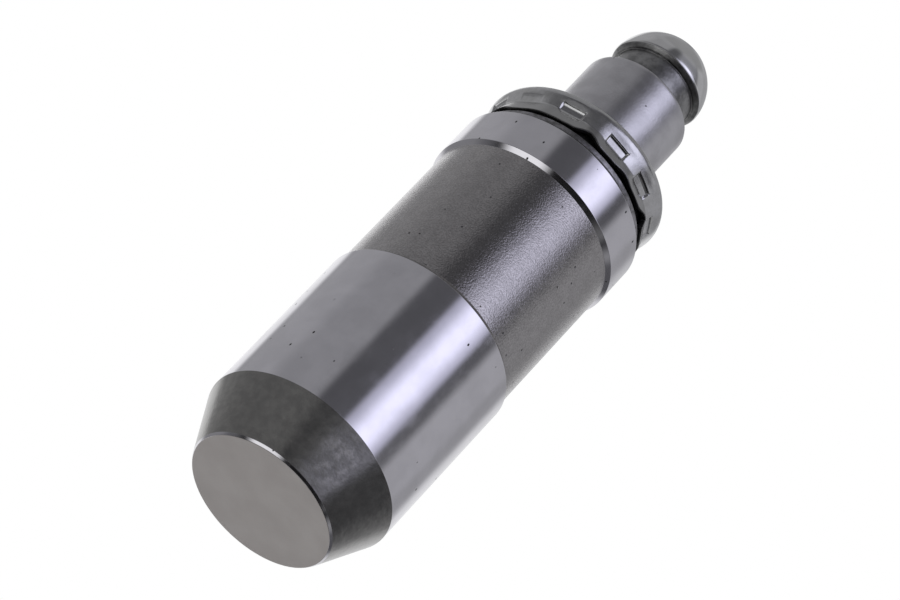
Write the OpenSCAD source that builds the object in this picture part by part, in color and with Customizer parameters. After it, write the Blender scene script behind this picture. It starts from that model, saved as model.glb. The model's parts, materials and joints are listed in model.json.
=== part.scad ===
// Hydraulic valve lifter of the pivot kind: a ground body that stands on its foot, a plunger in
// two pieces with a ball head, a ball check valve, two springs and a snapped-on retaining cap.
// Millimetres. The axis is Z, the foot's face lies at Z = 0 and the plunger is fully out.

/* [Body] */
// Diameter of the two ground lands
body_d = 12; // [11:0.1:14]
// Diameter at which the foot's face and its cone would meet in a sharp edge
foot_d = 8.92; // [7:0.02:10]
// Radius of the round between the foot's face and its cone
foot_round = 0.3; // [0.1:0.05:0.6]
// Height of the foot's cone
cone_h = 3.46; // [2:0.02:5]
// Height of the lower ground land
lower_land_h = 10.7; // [8:0.1:13]
// Height of the oil groove between the lands, with its flanks
oil_groove_h = 10.26; // [8:0.02:13]
// Depth of the oil groove
oil_groove_depth = 0.21; // [0.1:0.01:0.4]
// Height of each sloping flank of the oil groove
oil_flank_h = 0.28; // [0.1:0.02:0.6]
// Height of the upper ground land
upper_land_h = 2.56; // [1.5:0.02:4]
// Chamfer that leads from the upper land to the neck
neck_chamfer = 0.38; // [0.2:0.02:0.5]
// Height of the unground neck above that chamfer
neck_h = 0.32; // [0.2:0.02:1]
// Diameter of the bore
bore_d = 8; // [7.4:0.1:8.6]
// Chamfer at the mouth of the bore
bore_chamfer = 0.3; // [0.1:0.05:0.5]
// Chamfer round the floor of the bore
floor_chamfer = 0.3; // [0.1:0.05:0.45]
// Thickness of the floor under the bore
floor_t = 4.2; // [3:0.1:6]
// Diameter of the oil feed hole, at the back of the oil groove
feed_hole_d = 1.6; // [1:0.1:2.4]

/* [Retaining cap] */
// Thickness of the cap's sheet
sheet_t = 0.35; // [0.2:0.05:0.45]
// How far the rim that carries the cap stands in from the ground lands
rim_step = 0.64; // [0.5:0.02:0.8]
// Height of that rim
rim_h = 0.5; // [0.4:0.05:1.2]
// Outer radius of the bend between the cap's plate and its skirt
cap_round = 0.6; // [0.5:0.05:0.9]
// Number of tabs pressed into the skirt
tab_count = 12; // [6:1:14]
// Angle that each tab takes up
tab_angle = 15; // [8:0.5:18]
// Turn of the first tab from the front, seen from above
tab_turn = 8; // [0:0.5:30]
// How far the tabs are pressed in
tab_press = 0.19; // [0.12:0.01:0.22]
// Height of the sloping step at the top of each tab, which hooks under the rim
tab_step_h = 0.15; // [0.11:0.01:0.3]
// Height of the upright part of each tab, under its step
tab_upright_h = 0.4; // [0.2:0.05:0.6]
// Height of the lower part of each tab, which leans back out to the skirt's edge
tab_lean_h = 0.75; // [0.4:0.05:1]
// How far in the tabs still are at the skirt's edge
tab_edge_press = 0.06; // [0.02:0.01:0.1]
// Angle of the shallow notch in the skirt's edge between two tabs
notch_angle = 11; // [4:0.5:11.5]
// Depth of that notch
notch_h = 0.16; // [0.04:0.02:0.3]
// Open height between the neck and the lower edge of the tabs
cap_edge_gap = 0.19; // [0.1:0.01:0.6]

/* [Plunger] */
// How far the plunger can be pushed in
plunger_travel = 3.2; // [2:0.1:3.3]
// Width of the shoulder that stops the plunger under the cap
stop_shoulder = 0.58; // [0.4:0.02:0.8]
// Height of the stem that stands out of the cap
stem_h = 5.95; // [4:0.05:8]
// Radius of the round at the end of the stem
stem_round = 0.25; // [0.05:0.05:0.3]
// Diameter of the neck under the ball head
neck_d = 5.2; // [4:0.1:5.6]
// Height of that neck
neck_gap_h = 1.88; // [1:0.02:3]
// Radius of the fillet between that neck and the end of the stem
neck_fillet = 0.25; // [0.05:0.05:0.3]
// Diameter of the ball head
head_d = 6; // [5.6:0.1:6.4]
// How far below the ball's centre the head ends in its flat underside
head_drop = 0.2; // [0.1:0.05:0.6]
// Radius of the round at the lower edge of the ball head
head_edge = 0.36; // [0.1:0.02:0.5]
// Diameter of the oil reservoir inside the plunger
reservoir_d = 4.6; // [3:0.1:5]
// How far below the end of the stem the reservoir's straight wall stops
reservoir_roof = 1.2; // [1:0.1:3]
// Included angle of the drill point at the top of the reservoir
drill_angle = 118; // [90:1:140]
// Diameter of the oil hole through the ball head
head_oil_hole_d = 0.8; // [0.4:0.1:1.2]
// Diameter of the oil hole from the recess into the reservoir
side_oil_hole_d = 1.2; // [0.8:0.1:2]
// Depth of the oil recess round the plunger
recess_depth = 0.43; // [0.2:0.01:0.5]
// Height of the guide land under the oil recess
recess_land = 0.48; // [0.3:0.02:1]
// How far the oil recess reaches past the feed hole at either end of the travel
recess_margin = 0.3; // [0.1:0.05:0.6]
// Chamfer on the ends of the two plunger pieces
plunger_chamfer = 0.2; // [0.05:0.05:0.3]
// Length of the lower plunger
lower_plunger_l = 5.4; // [4.6:0.1:7]
// Thickness of the lower plunger's floor, which holds the valve seat
seat_floor_t = 2.2; // [1.6:0.1:3]
// Height of the pressure chamber between the floor of the bore and the lower plunger
chamber_h = 9; // [8.6:0.1:11]

/* [Check valve] */
// Diameter of the check ball
check_ball_d = 3; // [2.6:0.1:3.4]
// How far the check ball can leave its seat
check_ball_lift = 0.33; // [0.2:0.01:0.5]
// Half the width of the conical seat, measured across the axis
seat_half_w = 0.2; // [0.1:0.02:0.3]
// Thickness of the cage's sheet
cage_t = 0.25; // [0.15:0.05:0.3]
// Room for oil between the check ball and the cage's wall
cage_ball_gap = 0.25; // [0.15:0.05:0.3]
// Depth of the small cup in the cage that holds the valve spring
cage_cup_h = 1.64; // [1.2:0.02:2]
// Room between the valve spring and that cup
cage_cup_gap = 0.15; // [0.1:0.01:0.2]
// Number of oil slots in the cage's wall
cage_slot_count = 3; // [2:1:4]
// Width of an oil slot
cage_slot_w = 1.2; // [0.6:0.1:1.6]
// Height of the sheet left above and below an oil slot
cage_slot_rim = 0.25; // [0.15:0.05:0.4]
// Wire of the valve spring
valve_spring_wire = 0.18; // [0.12:0.01:0.22]
// Mean diameter of the valve spring
valve_spring_d = 1.72; // [1.4:0.02:1.9]
// Turns of the valve spring, with a closed one at each end
valve_spring_turns = 5; // [4:0.25:5.5]

/* [Return spring] */
// Wire of the plunger's return spring
return_spring_wire = 0.8; // [0.6:0.05:0.85]
// Turns of the return spring, with a closed one at each end
return_spring_turns = 5.25; // [4:0.25:5.5]
// Room between the return spring and the bore
return_spring_gap = 0.5; // [0.4:0.05:0.6]

/* [Clearances] */
// Gap between faces that rest on each other
seat_gap = 0.02; // [0.01:0.01:0.04]
// Radial clearance of the plunger in the bore
guide_clearance = 0.02; // [0.01:0.005:0.04]
// Radial clearance of the stem in the cap's hole
stem_clearance = 0.1; // [0.05:0.01:0.2]
// Radial clearance between the rim and the cap's skirt
skirt_clearance = 0.05; // [0.02:0.01:0.1]
// Clearance between the cap's tabs and the floor of the groove that they snap into
tab_clearance = 0.16; // [0.1:0.02:0.3]

/* [Hidden] */
$fn = 96;
// Segments in the arc of a turned or bent edge
arc_steps = 6;
// How far a cutter runs past the face that it cuts
cut_past = 0.1;
// Facets round a spring's wire, rings in one turn, and the pitch of a closed turn in wires
wire_sides = 8;
rings_a_turn = 24;
closed_pitch = 1.04;

// Radii of the body
body_r = body_d / 2;
foot_r = foot_d / 2;
groove_r = body_r - oil_groove_depth;
body_neck_r = body_r - neck_chamfer;
rim_r = body_r - rim_step;
bore_r = bore_d / 2;
feed_hole_r = feed_hole_d / 2;

// Radii of the cap
skirt_in_r = rim_r + skirt_clearance;
skirt_out_r = skirt_in_r + sheet_t;
bend_in = cap_round - sheet_t;
snap_groove_r = skirt_in_r - tab_press - tab_clearance;

// Radii of the plunger
guide_r = bore_r - guide_clearance;
stem_r = guide_r - stop_shoulder;
recess_r = guide_r - recess_depth;
neck_r = neck_d / 2;
head_r = head_d / 2;
reservoir_r = reservoir_d / 2;
cap_hole_r = stem_r + stem_clearance;

// Radii of the check valve and the return spring
check_ball_r = check_ball_d / 2;
seat_contact_r = check_ball_r / sqrt(2);
passage_r = seat_contact_r - seat_half_w;
seat_mouth_r = seat_contact_r + seat_half_w;
cage_r = check_ball_r + cage_ball_gap;
cup_r = (valve_spring_d + valve_spring_wire) / 2 + cage_cup_gap;
return_spring_out_r = bore_r - return_spring_gap;
return_spring_r = return_spring_out_r - return_spring_wire / 2;

// Heights along the body
z_cone = cone_h;
z_groove = z_cone + lower_land_h;
z_groove_end = z_groove + oil_groove_h;
z_neck = z_groove_end + upper_land_h;
z_snap = z_neck + neck_chamfer + neck_h;
z_cap_edge = z_snap + cap_edge_gap;
z_tab_lean = z_cap_edge + tab_lean_h;
z_tab_step = z_tab_lean + tab_upright_h;
z_tab_top = z_tab_step + tab_step_h;
// How far a tab's inside is shifted along the sheet at its bends: up at the step, down at the lean
tab_inside_rise = sheet_t * tan(atan2(tab_press, tab_step_h) / 2);
tab_inside_drop = sheet_t * tan(atan2(tab_press, tab_lean_h) / 2);
z_rim = z_tab_top + tab_inside_rise + seat_gap;
z_body_top = z_rim + rim_h;
z_cap_under = z_body_top + seat_gap;
z_cap_top = z_cap_under + sheet_t;

// Heights along the plunger
z_lower = floor_t + chamber_h;
z_lower_top = z_lower + lower_plunger_l;
z_upper = z_lower_top + seat_gap;
z_recess = z_upper + recess_land;
z_feed = z_recess + recess_margin + feed_hole_r;
z_recess_end = z_feed + feed_hole_r + recess_margin + plunger_travel;
z_shoulder = z_cap_under - seat_gap;
z_stem_end = z_cap_top + stem_h;
z_head = z_stem_end + neck_gap_h;
z_ball_head = z_head + head_drop;
z_reservoir_end = z_stem_end - reservoir_roof;

// Heights in the check valve: the ball touches its 45 degree seat at the contact circle
z_check_ball = z_lower + seat_mouth_r - check_ball_r * sqrt(2) - seat_gap;
z_cage_top = z_lower - seat_gap;
z_cage_step = z_check_ball - sqrt(pow(check_ball_r, 2) - pow(cup_r, 2)) - check_ball_lift - seat_gap;
z_cup_floor = z_cage_step - cage_cup_h;
z_valve_spring = z_cup_floor + seat_gap;
valve_spring_reach = check_ball_r + valve_spring_wire / 2 + seat_gap;
z_valve_spring_end = z_check_ball + valve_spring_wire / 2
    - sqrt(pow(valve_spring_reach, 2) - pow(valve_spring_d / 2, 2));
z_return_spring = floor_t + seat_gap;
z_return_spring_end = z_cage_top - cage_t - seat_gap;

// Points of an arc in the plane of a profile
function arc(centre, radius, from, to) = [
    for (i = [0 : arc_steps])
        let (angle = from + (to - from) * i / arc_steps)
        centre + radius * [cos(angle), sin(angle)]
];

// A solid of revolution from its profile, given as radius and height
module turned(profile) {
    rotate_extrude() polygon(profile);
}

// A hole drilled into the back of a wall, from the axis outwards
module back_hole(radius, height, reach) {
    translate([0, 0, height]) rotate([-90, 0, 0]) cylinder(r = radius, h = reach);
}

// Height of a spring's wire after some turns, with one closed turn at each end
function wire_z(turn, turns, wire, length) =
    let (shut = wire * closed_pitch, pitch = (length - wire - 2 * shut) / (turns - 2))
    wire / 2 + (
        turn < 1 ? turn * shut :
        turn > turns - 1 ? length - wire - (turns - turn) * shut :
        shut + (turn - 1) * pitch
    );

// A coil spring of round wire that stands on Z = 0
module coil_spring(mean_r, wire, turns, length) {
    last = turns * rings_a_turn;
    points = [
        for (i = [0 : last], j = [0 : wire_sides - 1])
            let (
                turn = i / rings_a_turn,
                around = 360 * j / wire_sides,
                radius = mean_r + wire / 2 * cos(around)
            )
            [
                radius * cos(360 * turn),
                radius * sin(360 * turn),
                wire_z(turn, turns, wire, length) + wire / 2 * sin(around)
            ]
    ];
    skin = [
        for (i = [0 : last - 1], j = [0 : wire_sides - 1])
            let (
                a = i * wire_sides + j,
                b = i * wire_sides + (j + 1) % wire_sides
            )
            each [[a, b, b + wire_sides], [a, b + wire_sides, a + wire_sides]]
    ];
    first_end = [for (j = [wire_sides - 1 : -1 : 0]) j];
    last_end = [for (j = [0 : wire_sides - 1]) last * wire_sides + j];
    polyhedron(points, concat(skin, [first_end, last_end]));
}

// Turned and ground body, open at the top, with the oil feed hole at the back of its groove
module body() {
    cone_angle = atan2(cone_h, body_r - foot_r);
    foot_flat_r = foot_r - foot_round * tan(cone_angle / 2);
    color("silver") difference() {
        turned(concat(
            [[0, 0]],
            arc([foot_flat_r, foot_round], foot_round, -90, cone_angle - 90),
            [
                [body_r, z_cone],
                [body_r, z_groove],
                [groove_r, z_groove + oil_flank_h],
                [groove_r, z_groove_end - oil_flank_h],
                [body_r, z_groove_end],
                [body_r, z_neck],
                [body_neck_r, z_neck + neck_chamfer],
                [body_neck_r, z_snap],
                [snap_groove_r, z_snap],
                [snap_groove_r, z_rim],
                [rim_r, z_rim],
                [rim_r, z_body_top - bend_in],
                [rim_r - bend_in, z_body_top],
                [bore_r + bore_chamfer, z_body_top],
                [bore_r, z_body_top - bore_chamfer],
                [bore_r, floor_t + floor_chamfer],
                [bore_r - floor_chamfer, floor_t],
                [0, floor_t]
            ]
        ));
        back_hole(feed_hole_r, z_feed, body_r + cut_past);
    }
}

// Part of a ring that is centred on an angle about the axis
module ring_sector(angle, span, profile) {
    rotate([0, 0, angle - span / 2]) rotate_extrude(angle = span) polygon(profile);
}

// Radius of a tab's lower part at a height, where the sheet's face would have the given radius
function lean_r(face_r, height) =
    face_r - tab_edge_press - (tab_press - tab_edge_press) * (height - z_cap_edge) / tab_lean_h;

// Profile of a cut through the skirt's edge, up to a height
function edge_cut(height) = [
    [skirt_in_r - tab_press - cut_past, z_cap_edge - 2 * cut_past],
    [skirt_out_r + cut_past, z_cap_edge - 2 * cut_past],
    [skirt_out_r + cut_past, height],
    [skirt_in_r - tab_press - cut_past, height]
];

// Drawn sheet cap: a plate with a hole for the stem, and a skirt with pressed tabs that hook
// under the body's rim. A tab is a hollow in front of the sheet and a bulge behind it.
module retaining_cap() {
    tab_pitch = 360 / tab_count;
    bend_r = skirt_out_r - cap_round;
    bend_z = z_cap_top - cap_round;
    z_untrimmed = z_cap_edge - cut_past;
    step_slope = tab_step_h / tab_press;
    // The bulge starts inside the sheet, half way to the bottom of the hollow
    root = (sheet_t - tab_press) / 2;
    color("gray") difference() {
        union() {
            turned(concat(
                [[cap_hole_r, z_cap_under]],
                arc([bend_r, bend_z], bend_in, 90, 0),
                [[skirt_in_r, z_untrimmed], [skirt_out_r, z_untrimmed]],
                arc([bend_r, bend_z], cap_round, 0, 90),
                [[cap_hole_r, z_cap_top]]
            ));
            for (i = [0 : tab_count - 1])
                ring_sector(tab_turn - 90 + i * tab_pitch, tab_angle, [
                    [skirt_in_r + root, z_tab_top + tab_inside_rise + root * step_slope],
                    [skirt_in_r - tab_press, z_tab_step + tab_inside_rise],
                    [skirt_in_r - tab_press, z_tab_lean - tab_inside_drop],
                    [lean_r(skirt_in_r, z_cap_edge - cut_past / 2), z_cap_edge - cut_past / 2],
                    [skirt_in_r + root, z_cap_edge - cut_past / 2]
                ]);
        }
        for (i = [0 : tab_count - 1]) {
            ring_sector(tab_turn - 90 + i * tab_pitch, tab_angle, [
                [skirt_out_r + cut_past, z_tab_top + cut_past * step_slope],
                [skirt_out_r - tab_press, z_tab_step],
                [skirt_out_r - tab_press, z_tab_lean],
                [lean_r(skirt_out_r, z_untrimmed), z_untrimmed],
                [skirt_out_r + cut_past, z_untrimmed]
            ]);
            ring_sector(
                tab_turn - 90 + (i + 0.5) * tab_pitch, notch_angle, edge_cut(z_cap_edge + notch_h)
            );
        }
        turned(edge_cut(z_cap_edge));
    }
}

// Upper plunger: hollow guide with an oil recess, stem, neck and ball head
module ball_plunger() {
    roof_h = reservoir_r / tan(drill_angle / 2);
    z_head_top = z_ball_head + head_r;
    // The round at the head's edge touches the ball and the underside, and ends at the neck at most
    edge = min(
        head_edge,
        (pow(head_r, 2) - pow(head_drop, 2) - pow(neck_r, 2)) / (2 * (head_r - head_drop))
    );
    edge_r = sqrt(pow(head_r, 2) - pow(head_drop, 2) - 2 * edge * (head_r - head_drop));
    edge_angle = asin((edge - head_drop) / (head_r - edge));
    z_edge = z_ball_head + head_r * sin(edge_angle);
    color("lightgray") difference() {
        union() {
            turned(concat(
                [
                    [0, z_upper],
                    [guide_r - plunger_chamfer, z_upper],
                    [guide_r, z_upper + plunger_chamfer],
                    [guide_r, z_recess],
                    [recess_r, z_recess + recess_depth / 2],
                    [recess_r, z_recess_end],
                    [guide_r, z_recess_end + recess_depth],
                    [guide_r, z_shoulder - plunger_chamfer],
                    [guide_r - plunger_chamfer, z_shoulder],
                    [stem_r, z_shoulder]
                ],
                arc([stem_r - stem_round, z_stem_end - stem_round], stem_round, 0, 90),
                arc([neck_r + neck_fillet, z_stem_end + neck_fillet], neck_fillet, 270, 180),
                [[neck_r, z_head]],
                arc([edge_r, z_head + edge], edge, -90, edge_angle),
                [[neck_r, z_edge + cut_past], [0, z_edge + cut_past]]
            ));
            intersection() {
                translate([0, 0, z_ball_head]) sphere(r = head_r);
                translate([0, 0, z_edge]) cylinder(r = head_r + cut_past, h = head_d);
            }
        }
        turned([
            [0, z_upper - cut_past],
            [reservoir_r, z_upper - cut_past],
            [reservoir_r, z_reservoir_end],
            [0, z_reservoir_end + roof_h]
        ]);
        translate([0, 0, z_reservoir_end])
            cylinder(d = head_oil_hole_d, h = z_head_top + cut_past - z_reservoir_end);
        back_hole(side_oil_hole_d / 2, (z_recess + z_recess_end) / 2, guide_r + cut_past);
    }
}

// Lower plunger: a cup whose floor has the oil passage and the conical seat of the check valve
module lower_plunger() {
    seat_h = seat_mouth_r - passage_r;
    color("darkgray") turned([
        [seat_mouth_r, z_lower],
        [guide_r - plunger_chamfer, z_lower],
        [guide_r, z_lower + plunger_chamfer],
        [guide_r, z_lower_top - plunger_chamfer],
        [guide_r - plunger_chamfer, z_lower_top],
        [reservoir_r, z_lower_top],
        [reservoir_r, z_lower + seat_floor_t],
        [passage_r, z_lower + seat_floor_t],
        [passage_r, z_lower + seat_h]
    ]);
}

// Ball that closes the passage
module check_ball() {
    color("whitesmoke") translate([0, 0, z_check_ball]) sphere(r = check_ball_r);
}

// Light spring that holds the check ball on its seat
module valve_spring() {
    color("dimgray") translate([0, 0, z_valve_spring])
        coil_spring(
            valve_spring_d / 2, valve_spring_wire, valve_spring_turns,
            z_valve_spring_end - z_valve_spring
        );
}

// Pressed cage: a flange against the lower plunger, a slotted wall round the ball, a step that
// limits the ball's lift, and a small cup for the valve spring
module check_valve_cage() {
    z_slot = z_cage_step + cage_slot_rim;
    slot_h = z_cage_top - cage_t - cage_slot_rim - z_slot;
    color("slategray") difference() {
        turned([
            [return_spring_out_r, z_cage_top],
            [cage_r, z_cage_top],
            [cage_r, z_cage_step],
            [cup_r, z_cage_step],
            [cup_r, z_cup_floor],
            [0, z_cup_floor],
            [0, z_cup_floor - cage_t],
            [cup_r + cage_t, z_cup_floor - cage_t],
            [cup_r + cage_t, z_cage_step - cage_t],
            [cage_r + cage_t, z_cage_step - cage_t],
            [cage_r + cage_t, z_cage_top - cage_t],
            [return_spring_out_r, z_cage_top - cage_t]
        ]);
        for (i = [0 : cage_slot_count - 1])
            rotate([0, 0, 360 * i / cage_slot_count])
                translate([0, -cage_slot_w / 2, z_slot])
                    cube([cage_r + cage_t + cut_past, cage_slot_w, slot_h]);
    }
}

// Spring in the pressure chamber that pushes the plunger out
module return_spring() {
    color("dimgray") translate([0, 0, z_return_spring])
        coil_spring(
            return_spring_r, return_spring_wire, return_spring_turns,
            z_return_spring_end - z_return_spring
        );
}

body();
retaining_cap();
ball_plunger();
lower_plunger();
check_ball();
valve_spring();
check_valve_cage();
return_spring();
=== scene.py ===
import json
import math

import bmesh
import bpy
from mathutils import Matrix, Vector


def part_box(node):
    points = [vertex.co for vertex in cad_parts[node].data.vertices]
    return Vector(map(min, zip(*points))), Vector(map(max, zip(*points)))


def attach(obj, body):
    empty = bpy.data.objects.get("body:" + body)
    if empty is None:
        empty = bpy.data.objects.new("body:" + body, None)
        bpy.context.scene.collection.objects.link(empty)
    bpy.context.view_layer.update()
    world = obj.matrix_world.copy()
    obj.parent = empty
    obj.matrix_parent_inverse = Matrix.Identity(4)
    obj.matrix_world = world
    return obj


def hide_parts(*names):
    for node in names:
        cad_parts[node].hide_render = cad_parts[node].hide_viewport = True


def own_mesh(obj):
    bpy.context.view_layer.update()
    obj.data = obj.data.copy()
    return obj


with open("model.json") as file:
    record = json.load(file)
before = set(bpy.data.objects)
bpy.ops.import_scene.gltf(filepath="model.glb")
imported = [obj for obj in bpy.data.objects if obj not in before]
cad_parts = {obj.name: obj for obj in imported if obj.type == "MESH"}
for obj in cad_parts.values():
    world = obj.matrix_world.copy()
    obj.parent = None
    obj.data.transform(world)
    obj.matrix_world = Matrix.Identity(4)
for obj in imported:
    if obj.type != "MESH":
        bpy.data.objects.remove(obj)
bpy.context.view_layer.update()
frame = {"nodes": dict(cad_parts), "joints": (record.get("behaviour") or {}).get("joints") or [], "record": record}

# Lengths below are millimetres, angles degrees. Angles about the axis start at the front, which
# is -Y, and grow towards +X.
MM = 0.001


def frame_mm(node):
    """Outer radius, lowest and highest point of a node in millimetres."""
    low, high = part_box(node)
    return high[0] / MM, low[2] / MM, high[2] / MM


def land_mm(mount_name):
    """Lower and upper end of a ground land, from the record's mount."""
    mount = next(m for m in frame["record"]["mounts"] if m["name"] == mount_name)
    middle = mount["pos_m"][2] / MM
    half = mount["dims"]["length_mm"] / 2
    return middle - half, middle + half


# Sizes of the body
BODY_R, _, BODY_TOP = frame_mm("body")
CONE_END, GROOVE_START = land_mm("lower_land")
GROOVE_END, LAND_END = land_mm("upper_land")
FOOT_R = 4.46
FOOT_EDGE_H = 0.15
FOOT_EDGE_TILT = 36
GROOVE_R = BODY_R - 0.21
FLANK_H = 0.28
BODY_NECK_R = BODY_R - 0.38
NECK_END = LAND_END + 0.7
SNAP_GROOVE_R = 5.06
RIM_R = BODY_R - 0.74
RIM_CHAMFER = 0.25
BORE_R = 4.0
BORE_CHAMFER = 0.3
FLOOR_T = 4.2
FEED_HOLE_R = 0.8
FEED_HOLE_Z = 20.2
FEED_HOLE_SINK = 0.12
EDGE_ROUND = 0.05
# How far inside a bore's wall a drill starts
DRILL_START = 1.0

# Sizes of the retaining cap
CAP_R, CAP_EDGE, CAP_TOP = frame_mm("retaining_cap")
SHEET_T = 0.28
SHEET_ROUND = 0.06
CAP_HOLE_R = 3.5
CAP_BEND = 0.6
CAP_LIFT = 0.05
CAP_TILT = 0.032
TABS = 12
TAB_TURN = 8.0
TAB_SPAN = 15.0
TAB_SIDE = 1.2
TAB_PRESS = 0.14
TAB_TOP = CAP_EDGE + 1.36
TAB_LEDGE_Z = TAB_TOP - 0.03
TAB_STEP_Z = TAB_TOP - 0.135
TAB_LEAN_Z = CAP_EDGE + 0.86
TAB_FADE_H = 0.3
TAB_FADE_AHEAD = 0.3
TAB_SPREAD = 6
LEDGE_SHARE = 0.57
BAR_SHARE = 0.6
EDGE_SHARE = 0.1
WAIST = 0.2
WAIST_CURVE = 1.3
SCALLOP = 0.09
RIM_START = TAB_TOP + 0.14
# Small errors of the press, going round from the front: how far each tab is off its place,
# the share of its full depth, how far the skirt's edge rises after it, and the share of the
# scallop that is left there
TAB_SHIFTS = (1.2, -1.0, 0.8, -0.5, 1.0, 0.4, -0.8, 0.6, -1.2, 0.9, -0.6, -2.2)
TAB_DEPTHS = (1.0, 1.0, 0.7, 1.0, 0.9, 1.0, 0.8, 1.0, 0.9, 1.0, 0.14, 0.9)
POST_RISES = (0.16, 0.06, 0.2, 0.05, 0.15, 0.1, 0.25, 0.0, 0.12, 0.2, -0.04, 0.34)
POST_DRAWS = (0.8, 0.5, 0.2, 0.0, 0.4, 0.2, 0.0, 0.3, 0.1, 0.4, 0.0, 0.0)
POST_SPAN = 20.0
NOTCH_START = 44.0
NOTCH_PEAK = 60.0
NOTCH_END = 62.0
NOTCH_RISE = 0.55

# Sizes of the ball plunger
GUIDE_R, PLUNGER_END, HEAD_TOP = frame_mm("ball_plunger")
HEAD_R = 3.0
HEAD_SET_DOWN = 0.02
HEAD_CENTRE = HEAD_TOP - HEAD_SET_DOWN - HEAD_R
HEAD_DROP = 0.2
HEAD_EDGE = 0.3
HEAD_EDGE_LAT = 3
HEAD_UNDERCUT = 47
# Share of the head's edge round, from its lower end, painted in the darker neck steel: painted shade under the
# head's edge.
HEAD_SHADED_SHARE = 0.33
NECK_FILLET = 0.45
HEAD_OIL_HOLE_R = 0.4
NECK_R = 2.6
STEM_R = 3.4
STEM_END = CAP_TOP + 5.95
STEM_ROUND = 0.25
SHOULDER_Z = CAP_TOP - 0.37
GUIDE_ROUND = 0.2
RECESS_R = 3.55
RECESS_START = PLUNGER_END + 0.48
RECESS_END = 24.5
RESERVOIR_R = 2.3
RESERVOIR_END = STEM_END - 1.2
SIDE_HOLE_R = 0.6
SIDE_HOLE_Z = (RECESS_START + RECESS_END) / 2
SIDE_HOLE_SINK = 0.05
# Half the angle of a drill's tip
DRILL_TIP = 59


class Wire:
    """A socket of a node tree. Arithmetic on it adds Math nodes, and make() adds any other node."""

    def __init__(self, tree, socket=None):
        self.tree = tree
        self.socket = socket

    def make(self, kind, settings=None, inputs=None, output=0):
        node = self.tree.nodes.new(kind)
        for name, value in (settings or {}).items():
            setattr(node, name, value)
        for name, value in (inputs or {}).items():
            if isinstance(value, Wire):
                self.tree.links.new(value.socket, node.inputs[name])
            else:
                node.inputs[name].default_value = value
        return Wire(self.tree, node.outputs[output])

    def math(self, operation, *values):
        return self.make("ShaderNodeMath", {"operation": operation}, dict(enumerate(values)))

    def __add__(self, other):
        return self.math("ADD", self, other)

    def __radd__(self, other):
        return self.math("ADD", other, self)

    def __sub__(self, other):
        return self.math("SUBTRACT", self, other)

    def __rsub__(self, other):
        return self.math("SUBTRACT", other, self)

    def __mul__(self, other):
        return self.math("MULTIPLY", self, other)

    def __rmul__(self, other):
        return self.math("MULTIPLY", other, self)

    def rise(self, start, end):
        """0 below start, 1 above end, smooth between."""
        return self.make(
            "ShaderNodeMapRange", {"interpolation_type": "SMOOTHSTEP"},
            {"Value": self, "From Min": start, "From Max": end},
        )

    def between(self, low, high, soft):
        """1 between low and high, 0 outside, with edges of the given softness."""
        return self.rise(low - soft, low + soft) * (1 - self.rise(high - soft, high + soft))

    def colours(self, first, second):
        """A colour that goes from first to second as this value goes from 0 to 1."""
        return self.make(
            "ShaderNodeMix", {"data_type": "RGBA"}, {"Factor": self, 6: first, 7: second}, 2
        )


def grey(value, blue=0.0, green=0.0):
    """A linear grey, with a share of blue and green added or, below 0, taken away."""
    return (value, value * (1 + green), value * (1 + blue), 1)


# Finishes


def new_finish(name):
    """An empty material, with its tree as a Wire, its shader and the surface point in millimetres."""
    material = bpy.data.materials.new(name)
    material.use_nodes = True
    tree = material.node_tree
    shader = tree.nodes["Principled BSDF"]
    shader.inputs["Metallic"].default_value = 1.0
    bench = Wire(tree)
    place = bench.make("ShaderNodeTexCoord", output=3)
    point = bench.make(
        "ShaderNodeVectorMath", {"operation": "SCALE"}, {0: place, "Scale": 1 / MM}
    )
    return material, shader, bench, point


def feed(shader, name, wire):
    shader.id_data.links.new(wire.socket, shader.inputs[name])


def stretched(bench, point, across, along):
    """The point scaled across the axis and along it, for grain that runs one way."""
    return bench.make(
        "ShaderNodeVectorMath", {"operation": "MULTIPLY"}, {0: point, 1: (across, across, along)}
    )


def noise(bench, point, scale, detail=2.0, rough=0.5):
    return bench.make(
        "ShaderNodeTexNoise", {"noise_dimensions": "3D"},
        {"Vector": point, "Scale": scale, "Detail": detail, "Roughness": rough},
    )


# Share of a pit's size that is its flat floor, and how sharply the cells with a pit are picked
PIT_FLOOR = 0.6
PIT_PICK = 0.01


def pits(bench, point, scale, share, size):
    """1 in small scattered pits: a share of the cells of a cell pattern has one."""
    cells = {"Vector": point, "Scale": scale}
    distance = bench.make("ShaderNodeTexVoronoi", {}, cells)
    colour = bench.make("ShaderNodeTexVoronoi", {}, cells, 1)
    lot = bench.make("ShaderNodeSeparateColor", {}, {0: colour})
    return (1 - distance.rise(size * PIT_FLOOR, size)) * (1 - lot.rise(share, share + PIT_PICK))


def bumped(bench, shader, height, depth):
    """Feeds a bump of the given depth in millimetres to the shader's normal."""
    feed(shader, "Normal", bench.make(
        "ShaderNodeBump", {}, {"Height": height, "Strength": 1.0, "Distance": depth * MM}
    ))


def ground_land():
    material, shader, bench, point = new_finish("ground_land")
    cloud = noise(bench, point, 0.5, 3.0)
    smudge = noise(bench, stretched(bench, point, 1.2, 0.5), 1.0, 4.0, 0.6)
    rings = noise(bench, stretched(bench, point, 0.4, 9.0), 1.0, 3.0)
    speck = pits(bench, stretched(bench, point, 1.0, 0.6), 2.2, 0.1, 0.16)
    tone = cloud.rise(0.35, 0.65).colours(grey(0.57, 0.04, -0.015), grey(0.62, 0.04, -0.015))
    feed(shader, "Base Color", speck.colours(tone, grey(0.08)))
    feed(shader, "Roughness", 0.1 + 0.04 * rings + smudge.rise(0.45, 0.75) * 0.08 + 0.5 * speck)
    bumped(bench, shader, rings * 0.4 + cloud - speck, 0.0015)
    return material


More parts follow.
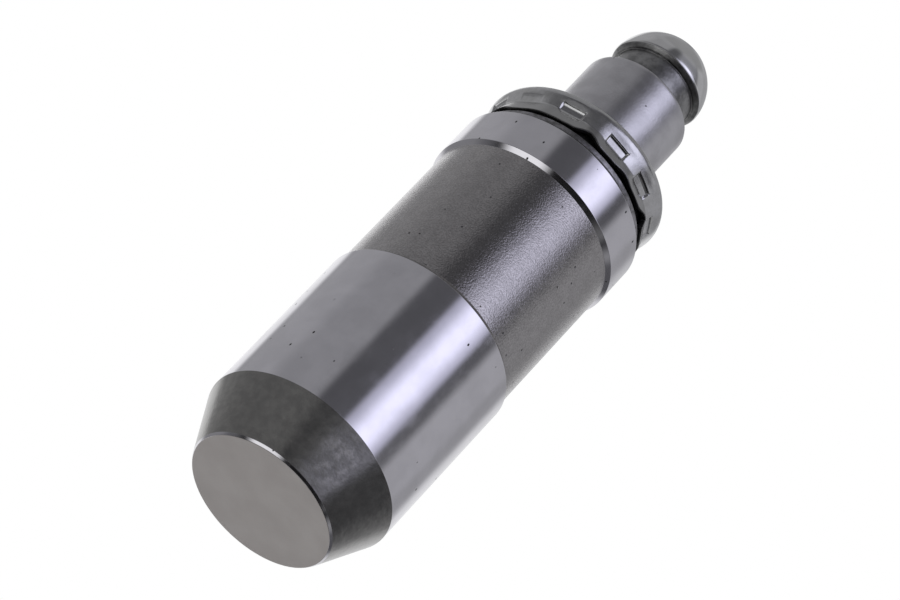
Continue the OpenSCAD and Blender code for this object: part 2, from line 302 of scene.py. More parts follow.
def turned_groove():
    material, shader, bench, point = new_finish("turned_groove")
    grain = noise(bench, point, 10.5, 2.0, 0.65)
    mottle = noise(bench, point, 1.6, 3.0)
    speck = pits(bench, point, 2.2, 0.12, 0.17)
    mix = grain * 0.75 + mottle * 0.25
    tone = mix.rise(0.3, 0.7).colours(grey(0.28, -0.025, -0.03), grey(0.41, -0.025, -0.03))
    feed(shader, "Base Color", speck.colours(tone, grey(0.05)))
    feed(shader, "Roughness", 0.09 + 0.05 * mottle)
    bumped(bench, shader, grain - speck, 0.0165)
    return material


# A painted highlight on the foot cone: smudges that turn pale only in a patch where the softbox's highlight falls;
# its place, its full and its outer radius, its strength
PAINTED_SHEEN_TURN = 16
PAINTED_SHEEN_Z = 1.9
PAINTED_SHEEN_CORE_R = 0.6
PAINTED_SHEEN_R = 2.0
PAINTED_SHEEN_STRENGTH = 0.75


def foot_cone():
    material, shader, bench, point = new_finish("foot_cone")
    rings = noise(bench, stretched(bench, point, 0.6, 5.0), 1.0, 3.0)
    mottle = noise(bench, point, 2.2, 4.0, 0.6)
    smudge = noise(bench, point, 1.7, 4.0, 0.65)
    mix = rings * 0.2 + mottle * 0.8
    tone = mix.rise(0.3, 0.7).colours(grey(0.24, -0.04, -0.015), grey(0.3, -0.05, -0.015))
    turn = math.radians(PAINTED_SHEEN_TURN)
    sheen_r = FOOT_R + (BODY_R - FOOT_R) * PAINTED_SHEEN_Z / CONE_END
    sheen_spot = (sheen_r * math.sin(turn), -sheen_r * math.cos(turn), PAINTED_SHEEN_Z)
    away = bench.make("ShaderNodeVectorMath", {"operation": "DISTANCE"}, {0: point, 1: sheen_spot}, 1)
    # Painted highlight: the smudges turn pale only round the spot where the highlight falls.
    pale = PAINTED_SHEEN_STRENGTH * smudge.rise(0.42, 0.68) * (1 - away.rise(PAINTED_SHEEN_CORE_R, PAINTED_SHEEN_R))
    feed(shader, "Base Color", pale.colours(tone, grey(0.48, -0.05, -0.02)))
    feed(shader, "Roughness", 0.15 + 0.12 * mottle)
    bumped(bench, shader, mottle + rings * 0.2, 0.01)
    return material


def foot_face():
    material, shader, bench, point = new_finish("foot_face")
    grain = noise(bench, point, 9.0, 2.0, 0.6)
    cloud = noise(bench, point, 0.45, 2.0)
    mix = grain * 0.3 + cloud * 0.7
    tone = mix.rise(0.3, 0.7).colours(grey(0.5, -0.08, -0.06), grey(0.56, -0.07, -0.05))
    feed(shader, "Base Color", tone)
    feed(shader, "Roughness", 0.36 + 0.1 * grain)
    bumped(bench, shader, grain, 0.003)
    return material


# Painted shade: a near-black steel for the snap groove, the holes' walls and the cap's edge and inside, darker
# than the steel is, standing for the shade that falls there.
def dark_recess():
    material, shader, bench, point = new_finish("dark_recess")
    mottle = noise(bench, point, 3.0, 3.0)
    feed(shader, "Base Color", mottle.rise(0.3, 0.7).colours(grey(0.06), grey(0.12)))
    feed(shader, "Roughness", 0.4 + 0.15 * mottle)
    return material


def neck_steel():
    material, shader, bench, point = new_finish("neck_steel")
    grain = noise(bench, point, 5.0, 3.0, 0.6)
    mottle = noise(bench, stretched(bench, point, 1.6, 3.0), 1.0, 4.0, 0.65)
    mix = grain * 0.4 + mottle * 0.6
    tone = mix.rise(0.35, 0.65).colours(grey(0.14), grey(0.34, 0.05, -0.02))
    feed(shader, "Base Color", tone)
    feed(shader, "Roughness", 0.24 + 0.15 * grain)
    bumped(bench, shader, grain + mottle, 0.006)
    return material


# Height over which the cap's skirt goes from its lower part, painted darker as painted shade, to the sheet's own
# tone
SKIRT_SHADE_FADE_H = 0.12


def cap_sheet():
    material, shader, bench, point = new_finish("cap_sheet")
    grain = noise(bench, point, 4.0, 3.0, 0.6)
    scuff = noise(bench, stretched(bench, point, 1.2, 1.6), 1.0, 4.0, 0.65)
    mix = grain * 0.4 + scuff * 0.6
    tone = mix.rise(0.3, 0.7).colours(grey(0.43), grey(0.53, 0.02))
    height = bench.make("ShaderNodeSeparateXYZ", {}, {0: point}, 2)
    above_skirt_shade = height.rise(TAB_LEAN_Z - SKIRT_SHADE_FADE_H, TAB_LEAN_Z)
    # Below the tabs' lean the skirt is painted a darker grey: painted shade on the lower skirt.
    feed(shader, "Base Color", above_skirt_shade.colours(grey(0.34), tone))
    feed(shader, "Roughness", 0.13 + 0.12 * scuff)
    bumped(bench, shader, grain * 0.5 + scuff, 0.008)
    return material


def plunger_satin():
    material, shader, bench, point = new_finish("plunger_satin")
    rings = noise(bench, stretched(bench, point, 0.5, 7.0), 1.0, 3.0)
    cloud = noise(bench, point, 0.9, 3.0)
    grain = noise(bench, point, 8.0, 2.0, 0.6)
    speck = pits(bench, point, 2.2, 0.08, 0.14)
    tone = cloud.rise(0.35, 0.65).colours(grey(0.49, 0.03, -0.01), grey(0.56, 0.03, -0.01))
    feed(shader, "Base Color", speck.colours(tone, grey(0.06)))
    feed(shader, "Roughness", 0.23 + 0.1 * rings + 0.06 * cloud)
    bumped(bench, shader, rings * 0.2 + grain - speck, 0.008)
    return material


def ball_head():
    material, shader, bench, point = new_finish("ball_head")
    grain = noise(bench, point, 6.0, 3.0, 0.6)
    cloud = noise(bench, point, 0.8, 3.0)
    feed(shader, "Base Color", cloud.rise(0.35, 0.65).colours(grey(0.6), grey(0.64)))
    feed(shader, "Roughness", 0.12 + 0.06 * cloud)
    bumped(bench, shader, grain, 0.001)
    return material


def plunger_neck():
    material, shader, bench, point = new_finish("plunger_neck")
    grain = noise(bench, point, 5.0, 3.0, 0.6)
    mottle = noise(bench, point, 1.3, 4.0, 0.6)
    mix = grain * 0.3 + mottle * 0.7
    tone = mix.rise(0.35, 0.65).colours(grey(0.17), grey(0.34))
    feed(shader, "Base Color", tone)
    feed(shader, "Roughness", 0.26 + 0.16 * mottle)
    bumped(bench, shader, grain + mottle, 0.01)
    return material


def spring_wire():
    material, shader, bench, point = new_finish("spring_wire")
    grain = noise(bench, point, 5.0, 3.0)
    feed(shader, "Base Color", grain.rise(0.3, 0.7).colours(grey(0.24), grey(0.34)))
    feed(shader, "Roughness", 0.26 + 0.12 * grain)
    return material


def polished_ball():
    material, shader, bench, point = new_finish("polished_ball")
    cloud = noise(bench, point, 0.8, 2.0)
    feed(shader, "Base Color", cloud.rise(0.3, 0.7).colours(grey(0.68), grey(0.72)))
    feed(shader, "Roughness", 0.05 + 0.04 * cloud)
    return material


FINISHES = {
    make.__name__: make()
    for make in (
        ground_land, turned_groove, foot_cone, foot_face, dark_recess, neck_steel,
        cap_sheet, plunger_satin, ball_head, plunger_neck, spring_wire, polished_ball,
    )
}


# Turned pieces

# Steps round the axis and along an edge round
AROUND = 288
ROUND_STEPS = 5
# The largest share of a flat that an edge round takes, and how far past the round, as a share of
# its reach, the flat is held flat
ROUND_SHARE = 0.3
HOLD = 0.35
# Edges that turn more than this are sharp
SHARP_ANGLE = 35
# A radius that counts as on the axis, and an edge length that counts as none
ON_AXIS = 1e-6
SLIVER = 0.0001
# How far a cutter's countersink goes on past the surface, in depths of the countersink
SINK_PAST = 2


def around_axis(radius, angle, height):
    """A point in metres at a radius, an angle from the front in radians and a height."""
    return (radius * MM * math.sin(angle), -radius * MM * math.cos(angle), height * MM)


def soft_outline(corners):
    """Turns corners (radius, height, edge round, finish) into points (radius, height, finish).

    A corner with a round becomes a short curve between two points that keep the flats flat. The
    finish of a corner is that of the surface that starts there."""
    points = []
    last_finish = corners[-1][3]
    for index, (radius, height, edge, finish) in enumerate(corners):
        here = Vector((radius, height))
        inner = 0 < index < len(corners) - 1
        if not (inner and edge):
            points.append((radius, height, finish))
            last_finish = finish
            continue
        back = Vector(corners[index - 1][:2]) - here
        ahead = Vector(corners[index + 1][:2]) - here
        turn = math.pi - back.angle(ahead)
        room = ROUND_SHARE * min(back.length, ahead.length)
        reach = min(edge * math.tan(turn / 2), room)
        start = here + back.normalized() * reach
        end = here + ahead.normalized() * reach
        points.append((*(start + back.normalized() * reach * HOLD), last_finish))
        for step in range(ROUND_STEPS + 1):
            s = step / ROUND_STEPS
            spot = start * (1 - s) ** 2 + here * 2 * s * (1 - s) + end * s ** 2
            points.append((*spot, last_finish if s < 0.5 else finish))
        points.append((*(end + ahead.normalized() * reach * HOLD), finish))
        last_finish = finish
    return points


def finish_mesh(name, bm, finishes):
    """Makes an object of the mesh, smooth but for edges over the sharp angle."""
    bmesh.ops.recalc_face_normals(bm, faces=bm.faces)
    mesh = bpy.data.meshes.new(name)
    bm.to_mesh(mesh)
    bm.free()
    mesh.shade_smooth()
    mesh.set_sharp_from_angle(angle=math.radians(SHARP_ANGLE))
    for finish in finishes:
        mesh.materials.append(FINISHES[finish])
    piece = bpy.data.objects.new(name, mesh)
    bpy.context.collection.objects.link(piece)
    return piece


def turned_bmesh(corners, finishes):
    """A closed solid of revolution. An outline that doesn't start on the axis is a closed loop."""
    outline = soft_outline(corners)
    bm = bmesh.new()
    rings = []
    for radius, height, _ in outline:
        if radius < ON_AXIS:
            rings.append([bm.verts.new((0, 0, height * MM))])
            continue
        rings.append([
            bm.verts.new(around_axis(radius, 2 * math.pi * k / AROUND, height))
            for k in range(AROUND)
        ])
    closed = corners[0][0] > ON_AXIS
    for index in range(len(rings) if closed else len(rings) - 1):
        low, high = rings[index], rings[(index + 1) % len(rings)]
        for k in range(AROUND):
            after = (k + 1) % AROUND
            loop = [
                low[k % len(low)], low[after % len(low)],
                high[after % len(high)], high[k % len(high)],
            ]
            face = bm.faces.new(list(dict.fromkeys(loop)))
            face.material_index = finishes.index(outline[index][2])
    return bm


def turned_piece(name, corners):
    finishes = list(dict.fromkeys(corner[3] for corner in corners))
    return finish_mesh(name, turned_bmesh(corners, finishes), finishes)


def drilled(piece, radius, height, inner, outer, countersink):
    """Drills a hole into the back of a turned piece, from a radius inside its bore, and
    countersinks it at 45 degrees."""
    sink_start = outer - countersink
    sink_end = outer + SINK_PAST * countersink
    sink_r = radius + (1 + SINK_PAST) * countersink
    # The cutter's faces become the hole's walls in the near-black recess steel: painted shade inside the hole.
    cutter = turned_piece("cutter", [
        (0, inner, 0, "dark_recess"),
        (radius, inner, 0, "dark_recess"),
        (radius, sink_start, 0, "dark_recess"),
        (sink_r, sink_end, 0, "dark_recess"),
        (0, sink_end, 0, "dark_recess"),
    ])
    half_step = Matrix.Rotation(math.pi / AROUND, 4, "Z")
    to_back = Matrix.Rotation(math.radians(-90), 4, "X")
    cutter.data.transform(Matrix.Translation((0, 0, height * MM)) @ to_back @ half_step)
    cut = piece.modifiers.new("hole", "BOOLEAN")
    cut.operation = "DIFFERENCE"
    cut.solver = "EXACT"
    cut.object = cutter
    shape = bpy.context.evaluated_depsgraph_get()
    mesh = bpy.data.meshes.new_from_object(piece.evaluated_get(shape))
    piece.modifiers.clear()
    piece.data = mesh
    bm = bmesh.new()
    bm.from_mesh(mesh)
    bmesh.ops.dissolve_degenerate(bm, dist=SLIVER * MM, edges=bm.edges)
    bm.to_mesh(mesh)
    bm.free()
    mesh.set_sharp_from_angle(angle=math.radians(SHARP_ANGLE))
    bpy.data.objects.remove(cutter)


def lifter_body():
    edge = EDGE_ROUND
    neck_start = LAND_END + BODY_R - BODY_NECK_R
    cone_slope = (BODY_R - FOOT_R) / CONE_END
    edge_end = FOOT_R + FOOT_EDGE_H * cone_slope
    edge_start = edge_end - FOOT_EDGE_H * math.tan(math.radians(FOOT_EDGE_TILT))
    return turned_piece("lifter_body", [
        (0, 0, 0, "foot_face"),
        (edge_start, 0, edge, "ground_land"),
        (edge_end, FOOT_EDGE_H, edge, "foot_cone"),
        (BODY_R, CONE_END, edge, "ground_land"),
        (BODY_R, GROOVE_START, edge, "turned_groove"),
        (GROOVE_R, GROOVE_START + FLANK_H, edge, "turned_groove"),
        (GROOVE_R, GROOVE_END - FLANK_H, edge, "ground_land"),
        (BODY_R, GROOVE_END, edge, "ground_land"),
        (BODY_R, LAND_END, edge, "neck_steel"),
        (BODY_NECK_R, neck_start, edge, "neck_steel"),
        # From here the step under the cap and the snap groove take the near-black recess steel: painted shade.
        (BODY_NECK_R, NECK_END, edge, "dark_recess"),
        (SNAP_GROOVE_R, NECK_END, edge, "dark_recess"),
        (SNAP_GROOVE_R, RIM_START, edge, "neck_steel"),
        (RIM_R, RIM_START, edge, "neck_steel"),
        (RIM_R, BODY_TOP - RIM_CHAMFER, edge, "neck_steel"),
        (RIM_R - RIM_CHAMFER, BODY_TOP, edge, "neck_steel"),
        (BORE_R + BORE_CHAMFER, BODY_TOP, edge, "neck_steel"),
        (BORE_R, BODY_TOP - BORE_CHAMFER, edge, "ground_land"),
        (BORE_R, FLOOR_T + BORE_CHAMFER, edge, "ground_land"),
        (BORE_R - BORE_CHAMFER, FLOOR_T, edge, "ground_land"),
        (0, FLOOR_T, 0, "ground_land"),
    ])


def head_arc(edge_steps=8, steps=24):
    """Corners of the ball head: its undercut, its edge's round and the ball up to its oil hole."""
    tilt = math.radians(HEAD_UNDERCUT)
    meet = math.radians(HEAD_EDGE_LAT)
    edge_r = (HEAD_R - HEAD_EDGE) * math.cos(meet)
    edge_z = HEAD_CENTRE + (HEAD_R - HEAD_EDGE) * math.sin(meet)
    edge = [
        (edge_r + HEAD_EDGE * math.cos(a), edge_z + HEAD_EDGE * math.sin(a))
        for a in (-tilt + (tilt + meet) * step / edge_steps for step in range(edge_steps + 1))
    ]
    end = math.acos(HEAD_OIL_HOLE_R / HEAD_R)
    ball = [
        (HEAD_R * math.cos(a), HEAD_CENTRE + HEAD_R * math.sin(a))
        for a in (meet + (end - meet) * step / steps for step in range(1, steps + 1))
    ]
    under_z = HEAD_CENTRE - HEAD_DROP
    under_r = edge[0][0] - (edge[0][1] - under_z) * math.tan(tilt)
    # The lower steps of the edge round take the darker neck steel: painted shade under the head's edge.
    shaded_steps = round(edge_steps * HEAD_SHADED_SHARE)
    corners = [(under_r, under_z, EDGE_ROUND, "plunger_neck")]
    corners += [(*spot, 0, "plunger_neck") for spot in edge[:shaded_steps]]
    corners += [(*spot, 0, "ball_head") for spot in edge[shaded_steps:] + ball[:-1]]
    return corners + [(*ball[-1], EDGE_ROUND, "ball_head")]


def ball_plunger():
    steel = "plunger_satin"
    edge = EDGE_ROUND
    head_under = HEAD_CENTRE - HEAD_DROP
    recess = GUIDE_R - RECESS_R
    tip_h = (RESERVOIR_R - HEAD_OIL_HOLE_R) / math.tan(math.radians(DRILL_TIP))
    return turned_piece("pivot_plunger", [
        (RESERVOIR_R, PLUNGER_END, edge, steel),
        (GUIDE_R, PLUNGER_END, GUIDE_ROUND, steel),
        (GUIDE_R, RECESS_START, edge, steel),
        (RECESS_R, RECESS_START + recess / 2, edge, steel),
        (RECESS_R, RECESS_END, edge, steel),
        (GUIDE_R, RECESS_END + recess, edge, steel),
        (GUIDE_R, SHOULDER_Z, GUIDE_ROUND, steel),
        (STEM_R, SHOULDER_Z, edge, steel),
        (STEM_R, STEM_END, STEM_ROUND, "plunger_neck"),
        (NECK_R, STEM_END, NECK_FILLET, "plunger_neck"),
        (NECK_R, head_under, NECK_FILLET, "plunger_neck"),
        *head_arc(),
        (HEAD_OIL_HOLE_R, RESERVOIR_END + tip_h, edge, steel),
        (RESERVOIR_R, RESERVOIR_END, edge, steel),
    ])


# Retaining cap

# Columns round the sheet and rows along it, from the plate to the skirt's edge
COLUMNS = 1008
PLATE_ROWS = 4
BEND_ROWS = 10
SKIRT_ROWS = 6
LEDGE_ROWS = 2
STEP_ROWS = 4
BAR_ROWS = 5
LEAN_ROWS = 8
# Angles of the points on the rounds at the sheet's ends
END_TURNS = (30, 60, 90)


def smooth(value):
    value = max(0.0, min(1.0, value))
    return value * value * (3 - 2 * value)


def nearest_tab(turn):
    """Angle from the middle of the nearest tab, and the share of its full depth."""
    tabs = [TAB_TURN + 360 * k / TABS + shift for k, shift in enumerate(TAB_SHIFTS)]
    return min((abs((turn - tab + 180) % 360 - 180), depth) for tab, depth in zip(tabs, TAB_DEPTHS))


def post_share(turn):
    """The post beside an angle, and a share that is 0 at the tabs and 1 in the post's middle."""
    pitch = 360 / TABS
    post, offset = divmod((turn - TAB_TURN) % 360, pitch)
    return int(post), smooth(1 - abs(offset - pitch / 2) / (POST_SPAN / 2))


def cap_shift(turn, radius):
    """How far a point of the cap is lifted: it sits a little askew on the body."""
    return CAP_LIFT + CAP_TILT * radius * math.sin(math.radians(turn))


def skirt_edge(turn):
    """Height of the skirt's lower edge: straight under the tabs, waved between them, one notch."""
    post, share = post_share(turn)
    notch = smooth((turn - NOTCH_START) / (NOTCH_PEAK - NOTCH_START))
    notch *= 1 - smooth((turn - NOTCH_PEAK) / (NOTCH_END - NOTCH_PEAK))
    return CAP_EDGE + POST_RISES[post] * share + NOTCH_RISE * notch + cap_shift(turn, CAP_R)


def skirt_column(turn):
    """Points (radius, height) of the skirt's outside at an angle, from the bend to its edge.

    The skirt tapers to a waist and flares to its edge, and is drawn in round the tabs. A tab has a
    narrow ledge and a sloping step at its top, an upright part, and a part that leans back out."""
    offset, depth = nearest_tab(turn)
    post, _ = post_share(turn)
    drawn = SCALLOP * (1 - (1 - POST_DRAWS[post]) * smooth(offset / (180 / TABS)))
    bend_end = CAP_TOP - CAP_BEND + cap_shift(turn, CAP_R)
    stretches = [
        (bend_end, TAB_TOP, SKIRT_ROWS, 0, 0),
        (TAB_TOP, TAB_LEDGE_Z, LEDGE_ROWS, 0, LEDGE_SHARE),
        (TAB_LEDGE_Z, TAB_STEP_Z, STEP_ROWS, LEDGE_SHARE, 1),
        (TAB_STEP_Z, TAB_LEAN_Z, BAR_ROWS, 1, BAR_SHARE),
        (TAB_LEAN_Z, skirt_edge(turn) + SHEET_ROUND, LEAN_ROWS, BAR_SHARE, EDGE_SHARE),
    ]
    column = []
    for start, end, rows, share_from, share_to in stretches:
        for row in range(1, rows + 1):
            s = row / rows
            z = start + (end - start) * s
            fade = smooth((TAB_LEAN_Z - z) / TAB_FADE_H + TAB_FADE_AHEAD)
            side = TAB_SIDE * (1 + TAB_SPREAD * fade)
            pressed = depth * TAB_PRESS * (1 - smooth((offset - TAB_SPAN / 2) / side + 0.5))
            share = share_from + (share_to - share_from) * s
            flare = WAIST - WAIST * (TAB_LEAN_Z - z) / (TAB_LEAN_Z - CAP_EDGE)
            taper = WAIST * max(0, (bend_end - z) / (bend_end - TAB_LEAN_Z)) ** WAIST_CURVE
            waist = min(taper, flare)
            inset = pressed * share + drawn * smooth((bend_end - z) / CAP_BEND) + waist
            column.append((CAP_R - inset, z))
    return column


def sheet_end(last, first):
    """Points round an end of the sheet, from one side's last point to the other's first."""
    last, first = Vector(last), Vector(first)
    across = (first - last).normalized()
    ahead = Vector((-across.y, across.x))
    turns = [math.radians(a) for a in END_TURNS]
    reach = [(SHEET_ROUND * math.sin(a), SHEET_ROUND * (1 - math.cos(a))) for a in turns]
    leaving = [tuple(last + ahead * out + across * along) for out, along in reach]
    coming = [tuple(first + ahead * out - across * along) for out, along in reversed(reach)]
    return leaving + coming


def cap_section(turn):
    """Points (radius, height) of the sheet at an angle: its outside, then its edge and inside."""
    bend_r = CAP_R - CAP_BEND
    bend_z = CAP_TOP - CAP_BEND
    hole_r = CAP_HOLE_R + SHEET_ROUND
    plate = [hole_r + (bend_r - hole_r) * row / PLATE_ROWS for row in range(PLATE_ROWS)]
    turns = [math.pi / 2 * row / BEND_ROWS for row in range(BEND_ROWS + 1)]

    def top(depth):
        arc_r = CAP_BEND - depth
        flat = [(r, CAP_TOP - depth) for r in plate]
        bend = [(bend_r + arc_r * math.sin(a), bend_z + arc_r * math.cos(a)) for a in turns]
        return [(r, z + cap_shift(turn, r)) for r, z in flat + bend]

    skirt = skirt_column(turn)
    outside = top(0) + skirt
    inside = top(SHEET_T) + [(r - SHEET_T, z) for r, z in skirt]
    inside.reverse()
    lower_end = sheet_end(outside[-1], inside[0])
    hole_end = sheet_end(inside[-1], outside[0])
    return outside, lower_end + inside + hole_end


def retaining_cap():
    bm = bmesh.new()
    grid = []
    for k in range(COLUMNS):
        turn = 360 * k / COLUMNS
        outside, hidden = cap_section(turn)
        grid.append([
            bm.verts.new(around_axis(r, math.radians(turn), z)) for r, z in outside + hidden
        ])
    shown_rows = len(outside) - 1
    for k in range(COLUMNS):
        here, after = grid[k], grid[(k + 1) % COLUMNS]
        for row in range(len(here)):
            low = (row + 1) % len(here)
            face = bm.faces.new((here[row], here[low], after[low], after[row]))
            # The sheet's cut edge and its inside take the near-black recess steel: painted shade.
            face.material_index = 0 if row < shown_rows else 1
    return finish_mesh("snap_cap", bm, ["cap_sheet", "dark_recess"])


def place(piece, body, node, slot):
    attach(piece, body)
    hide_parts(node)


body = lifter_body()
drilled(body, FEED_HOLE_R, FEED_HOLE_Z, BORE_R - DRILL_START, GROOVE_R, FEED_HOLE_SINK)
place(body, "housing", "body", "ground_steel")
place(retaining_cap(), "housing", "retaining_cap", "cap_sheet")
plunger = ball_plunger()
drilled(plunger, SIDE_HOLE_R, SIDE_HOLE_Z, RESERVOIR_R - DRILL_START, RECESS_R, SIDE_HOLE_SINK)
place(plunger, "pivot", "ball_plunger", "plunger_steel")

INNER_FINISHES = {
    "lower_plunger": "plunger_satin",
    "check_ball": "polished_ball",
    "check_valve_cage": "cap_sheet",
}
for node_name, finish in INNER_FINISHES.items():
    part = frame["nodes"][node_name]
    part.data.materials.clear()
    part.data.materials.append(FINISHES[finish])


# Springs, each a fixed coil in its node's place; a joint shortens them in the real lifter

CHAMBER_WIRE = 0.8
CHAMBER_TURNS = 5.25
BALL_WIRE = 0.18
BALL_TURNS = 5
# Pitch of a closed turn, in wire thicknesses
CLOSED_PITCH = 1.04
WIRE_SIDES = 14
RINGS_A_TURN = 40


def coil_spring(name, node, wire, turns):
    """A coil of round wire in its node's place, with one closed turn at each end."""
    outer_r, low, high = frame_mm(node)
    shut = wire * CLOSED_PITCH
    pitch = (high - low - wire - 2 * shut) / (turns - 2)
    bm = bmesh.new()
    rings = []
    for step in range(round(turns * RINGS_A_TURN) + 1):
        turn = step / RINGS_A_TURN
        open_turns = min(max(turn - 1, 0), turns - 2)
        middle = low + wire / 2 + (turn - open_turns) * shut + open_turns * pitch
        angle = 2 * math.pi * turn
        ring = []
        for side in range(WIRE_SIDES):
            around = 2 * math.pi * side / WIRE_SIDES
            radius = outer_r - wire / 2 * (1 - math.cos(around))
            height = middle + wire / 2 * math.sin(around)
            ring.append(bm.verts.new((
                radius * MM * math.cos(angle), radius * MM * math.sin(angle), height * MM
            )))
        rings.append(ring)
    for here, after in zip(rings, rings[1:]):
        for side in range(WIRE_SIDES):
            up = (side + 1) % WIRE_SIDES
            bm.faces.new((here[side], here[up], after[up], after[side]))
    bm.faces.new(rings[0])
    bm.faces.new(rings[-1])
    return finish_mesh(name, bm, ["spring_wire"])


def place_spring(spring, body, node, joint_name):
    place(spring, body, node, "spring_wire")
    _, low, high = frame_mm(node)
    joint = next(j for j in frame["joints"] if j["name"] == joint_name)
    travel = max(abs(end) for end in joint["range_m"]) / MM
    keep = 1 - travel / (high - low)
    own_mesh(spring)


chamber_spring = coil_spring("chamber_spring", "return_spring", CHAMBER_WIRE, CHAMBER_TURNS)
place_spring(chamber_spring, "housing", "return_spring", "plunger_slide")
ball_spring = coil_spring("ball_spring", "valve_spring", BALL_WIRE, BALL_TURNS)
place_spring(ball_spring, "pressure_piston", "valve_spring", "check_ball_lift")


# Camera, as fitted to the photograph: x right, y down, z ahead, in millimetres

PICTURE_W = 900
FOCAL_PX = 4905
FOOT_IN_VIEW = Vector((-9.918, 10.558, 256.33))
AXIS_AWAY = 34.9
AXIS_IN_PICTURE = 46.63
SENSOR_MM = 36
CLIP_NEAR = 10
CLIP_FAR = 20000


def photo_camera():
    away = math.radians(AXIS_AWAY)
    slant = math.radians(AXIS_IN_PICTURE)
    axis = Vector((
        math.cos(away) * math.cos(slant), -math.cos(away) * math.sin(slant), math.sin(away)
    ))
    sight = -FOOT_IN_VIEW.normalized()
    front = (sight - axis * sight.dot(axis)).normalized()
    side = axis.cross(front)

    def row(vector):
        return Vector((side.dot(vector), -front.dot(vector), axis.dot(vector)))

    data = bpy.data.cameras.new("camera")
    data.sensor_width = SENSOR_MM
    data.lens = FOCAL_PX * SENSOR_MM / PICTURE_W
    data.clip_start = CLIP_NEAR * MM
    data.clip_end = CLIP_FAR * MM
    camera = bpy.data.objects.new("camera", data)
    right, up, back = row(Vector((1, 0, 0))), row(Vector((0, -1, 0))), row(Vector((0, 0, -1)))
    turn = Matrix((right, up, back)).transposed().to_4x4()
    camera.matrix_world = Matrix.Translation(row(-FOOT_IN_VIEW) * MM) @ turn
    bpy.context.collection.objects.link(camera)
    bpy.context.scene.camera = camera


photo_camera()


# Studio

# Reflector cards round the lifter: middle, half width and softness in azimuth, from, to and
# softness in elevation, strength, share of blue
CARDS = {
    "room": (0, 200, 5, -22, 95, 5, 0.1, 0.08),
    "ceiling": (0, 200, 5, 65, 100, 8, 0.24, 0.0),
    "right_softbox": (29.5, 24, 4, -13, 44, 4, 0.5, 0.25),
    "softbox_core": (31, 13, 10, -2, 42, 4, 0.85, 0.2),
    "low_softbox": (6, 9, 4, 4, 26, 4, 0.45, 0.25),
    "softbox_spill": (32, 34, 8, 42, 68, 5, 0.18, 0.1),
    "right_card": (92, 20, 7, 5, 66, 5, 0.08, 0.08),
    "mid_right_card": (63, 12, 5, 4, 31, 4, 0.3, 0.03),
    "right_wall": (125, 54, 7, 6, 66, 5, 0.3, 0.02),
    "left_card": (-104, 73, 5, 28, 66, 5, 0.24, 0.02),
    "mid_left_card": (-116, 61, 5, 6, 28, 4, 0.08, 0.0),
    "mid_left_wall": (-125, 45, 15, 6, 28, 4, 0.16, 0.0),
    "left_wall": (-112, 24, 10, 5, 58, 5, 0.08, 0.0),
    "low_left_card": (-85, 60, 8, -16, 6, 4, 0.17, 0.0),
    "front_fill": (-14, 22, 6, 2, 28, 5, 0.02, 0.0),
    "left_softbox": (-46, 24, 9, -48, -22, 4, 1.2, 0.0),
    "low_left_wall": (-112, 26, 10, -45, -20, 4, 0.12, 0.0),
    "back_strip": (-148, 9, 6, -27, -11, 3, 0.7, 0.0),
    "low_front_card": (32, 42, 6, -29, -16, 3, 0.2, 0.0),
    "left_backdrop": (-160, 18, 6, -2, 48, 5, 0.68, 0.0),
    "right_backdrop": (160, 22, 10, -2, 36, 4, 0.5, 0.0),
    "table": (180, 52, 10, -50, -16, 5, 0.56, 0.0),
    "low_right_card": (110, 24, 8, -29, -16, 3, 0.25, 0.0),
    "floor_glow": (0, 200, 5, -100, -64, 3, 0.4, 0.0),
}
STUDIO_DIM = 0.012


def studio_world():
    world = bpy.data.worlds.new("studio")
    bpy.context.scene.world = world
    world.use_nodes = True
    tree = world.node_tree
    background = tree.nodes["Background"]
    bench = Wire(tree)
    ray = bench.make("ShaderNodeTexCoord", output=0)
    x, y, z = (bench.make("ShaderNodeSeparateXYZ", {}, {0: ray}, i) for i in range(3))
    to_degrees = 180 / math.pi
    azimuth = bench.math("ARCTAN2", x, 0 - y) * to_degrees
    elevation = bench.math("ARCSINE", z) * to_degrees
    light = grey(STUDIO_DIM)[:3]
    for middle, half, side_soft, low, high, soft, strength, blue in CARDS.values():
        aside = bench.math("ABSOLUTE", bench.math("WRAP", azimuth - middle, 180, -180))
        across = 1 - aside.rise(half - side_soft, half + side_soft)
        card = across * elevation.between(low, high, soft)
        light = bench.make(
            "ShaderNodeVectorMath", {"operation": "MULTIPLY_ADD"},
            {0: card, 1: grey(strength, blue)[:3], 2: light},
        )
    seen = bench.make("ShaderNodeLightPath")
    tree.links.new(seen.colours(light, grey(1)).socket, background.inputs["Color"])


studio_world()

FLOOR_R = 160
FLOOR_FADE = 15
FLOOR_HOLE_R = FOOT_R - 0.3
FLOOR_Z = -0.02
FLOOR_SIDES = 96
LAMP_PLACE = Vector((100, -100, 500))
LAMP_SIZE = 350
LAMP_POWER = 2.0


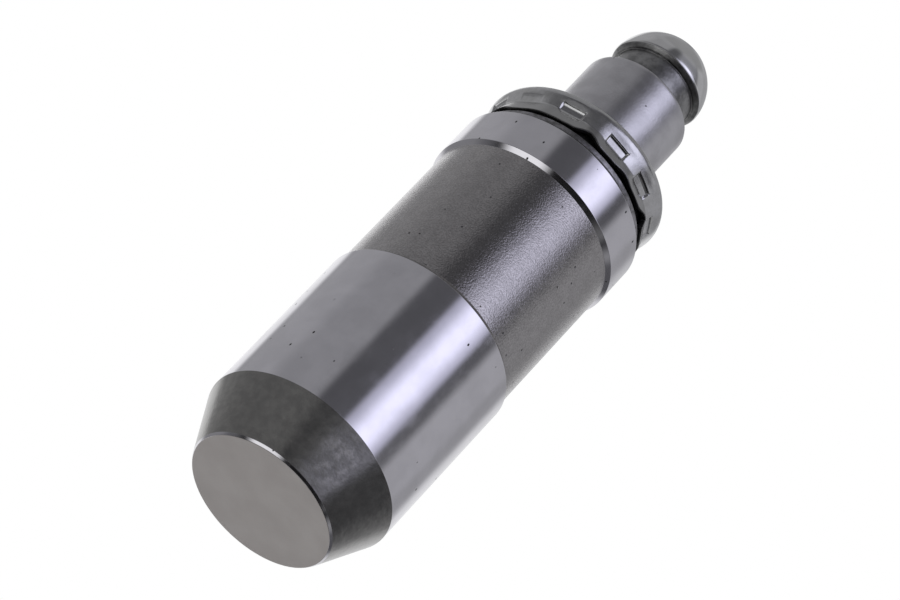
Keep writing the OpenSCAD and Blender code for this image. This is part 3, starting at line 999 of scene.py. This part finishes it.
def pale_floor():
    """A floor for the camera that is open under the foot and can't be seen from below."""
    material = bpy.data.materials.new("floor")
    material.use_nodes = True
    tree = material.node_tree
    shader = tree.nodes["Principled BSDF"]
    shader.inputs["Base Color"].default_value = grey(0.85)
    shader.inputs["Roughness"].default_value = 0.9
    shader.inputs["Specular IOR Level"].default_value = 0.0
    bench = Wire(tree)
    seen = bench.make("ShaderNodeLightPath")
    underside = bench.make("ShaderNodeNewGeometry", output=6)
    place = bench.make("ShaderNodeTexCoord", output=3)
    away = bench.make("ShaderNodeVectorMath", {"operation": "LENGTH"}, {0: place}, 1)
    near = 1 - away.rise(FLOOR_FADE * MM, FLOOR_R * MM)
    clear = bench.make("ShaderNodeBsdfTransparent")
    surface = Wire(tree, shader.outputs[0])
    share = seen * (1 - underside) * near
    top = bench.make("ShaderNodeMixShader", {}, {0: share, 1: clear, 2: surface})
    tree.links.new(top.socket, tree.nodes["Material Output"].inputs["Surface"])
    bm = bmesh.new()
    rings = [
        [
            bm.verts.new((r * MM * math.cos(a), r * MM * math.sin(a), FLOOR_Z * MM))
            for a in (2 * math.pi * k / FLOOR_SIDES for k in range(FLOOR_SIDES))
        ]
        for r in (FLOOR_HOLE_R, FLOOR_R)
    ]
    for k in range(FLOOR_SIDES):
        after = (k + 1) % FLOOR_SIDES
        bm.faces.new((rings[0][k], rings[1][k], rings[1][after], rings[0][after]))
    mesh = bpy.data.meshes.new("floor")
    bm.to_mesh(mesh)
    bm.free()
    mesh.materials.append(material)
    floor = bpy.data.objects.new("floor", mesh)
    bpy.context.collection.objects.link(floor)


def overhead_lamp():
    data = bpy.data.lights.new("overhead_lamp", "AREA")
    data.size = LAMP_SIZE * MM
    data.energy = LAMP_POWER
    lamp = bpy.data.objects.new("overhead_lamp", data)
    lamp.location = LAMP_PLACE * MM
    lamp.rotation_euler = (-LAMP_PLACE).to_track_quat("-Z", "Y").to_euler()
    lamp.visible_glossy = False
    bpy.context.collection.objects.link(lamp)


pale_floor()
overhead_lamp()

bpy.context.scene.view_settings.view_transform = "Standard"
